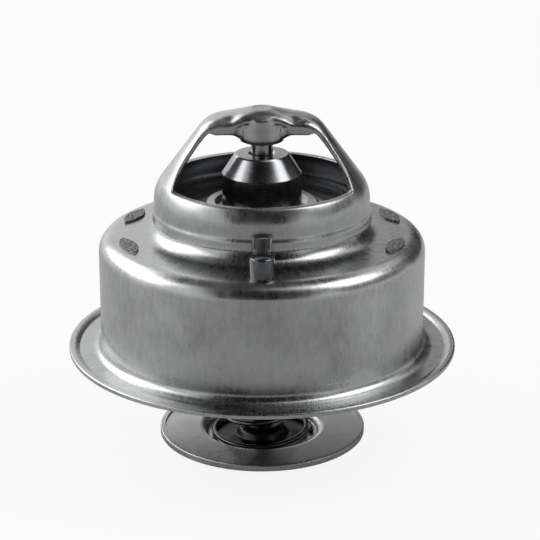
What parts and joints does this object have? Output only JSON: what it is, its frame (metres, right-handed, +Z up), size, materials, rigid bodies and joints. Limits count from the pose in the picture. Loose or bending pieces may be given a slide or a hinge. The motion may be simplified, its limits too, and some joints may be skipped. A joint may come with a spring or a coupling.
{
  "type": "engine thermostat",
  "caption": "Wax thermostat with flanged drawn steel housing, upper bridge, sliding main valve, bleed pin and a sprung bypass disc on a stem.",
  "frame": {"origin": "on the axis, in the plane of the bypass disc's dish, on which the part stands", "axes": "+Z up along the axis, towards the bridge; the bridge's legs are at +X and -X, the bleed pin is at -Y"},
  "size_m": [0.054, 0.054, 0.0484],
  "materials": {
    "drawn_steel": "drawn steel sheet, satin",
    "guide_steel": "turned and polished, dark",
    "pin_steel": "ground and polished",
    "spring_steel": "drawn wire, bright",
    "case_nickel": "drawn brass sheet, nickel plated, satin",
    "bush_brass": "turned brass",
    "seal_rubber": "moulded, matt",
    "washer_plastic": "matt",
    "wax": "waxy"
  },
  "bodies": {
    "housing": {"housing_shell": "drawn_steel", "upper_bridge": "drawn_steel", "piston_pin": "pin_steel", "lower_frame": "drawn_steel", "main_spring": "spring_steel"},
    "element": {"element_case": "case_nickel", "guide": "guide_steel", "sleeve_washer": "washer_plastic", "rubber_sleeve": "seal_rubber", "wax_charge": "wax", "valve_plate": "drawn_steel", "valve_seal": "seal_rubber", "bypass_stem": "pin_steel", "spring_cap": "drawn_steel", "stem_clip": "spring_steel", "bypass_spring": "spring_steel"},
    "bypass": {"bypass_disc": "drawn_steel", "disc_bush": "bush_brass"},
    "jiggle": {"jiggle_pin": "pin_steel"}
  },
  "joints": [
    {"name": "valve_slide", "type": "slide", "parent": "housing", "child": "element", "axis": [0, 0, -1], "range_m": [0, 0.008], "stiffness_N_per_m": 2100, "springref_m": -0.01, "deforming": ["main_spring"]},
    {"name": "bypass_slide", "type": "slide", "parent": "element", "child": "bypass", "axis": [0, 0, 1], "range_m": [0, 0.004], "stiffness_N_per_m": 700, "springref_m": -0.0045, "deforming": ["bypass_spring"]},
    {"name": "jiggle_slide", "type": "slide", "parent": "housing", "child": "jiggle", "axis": [0, 0, 1], "range_m": [0, 0.001]}
  ]
}
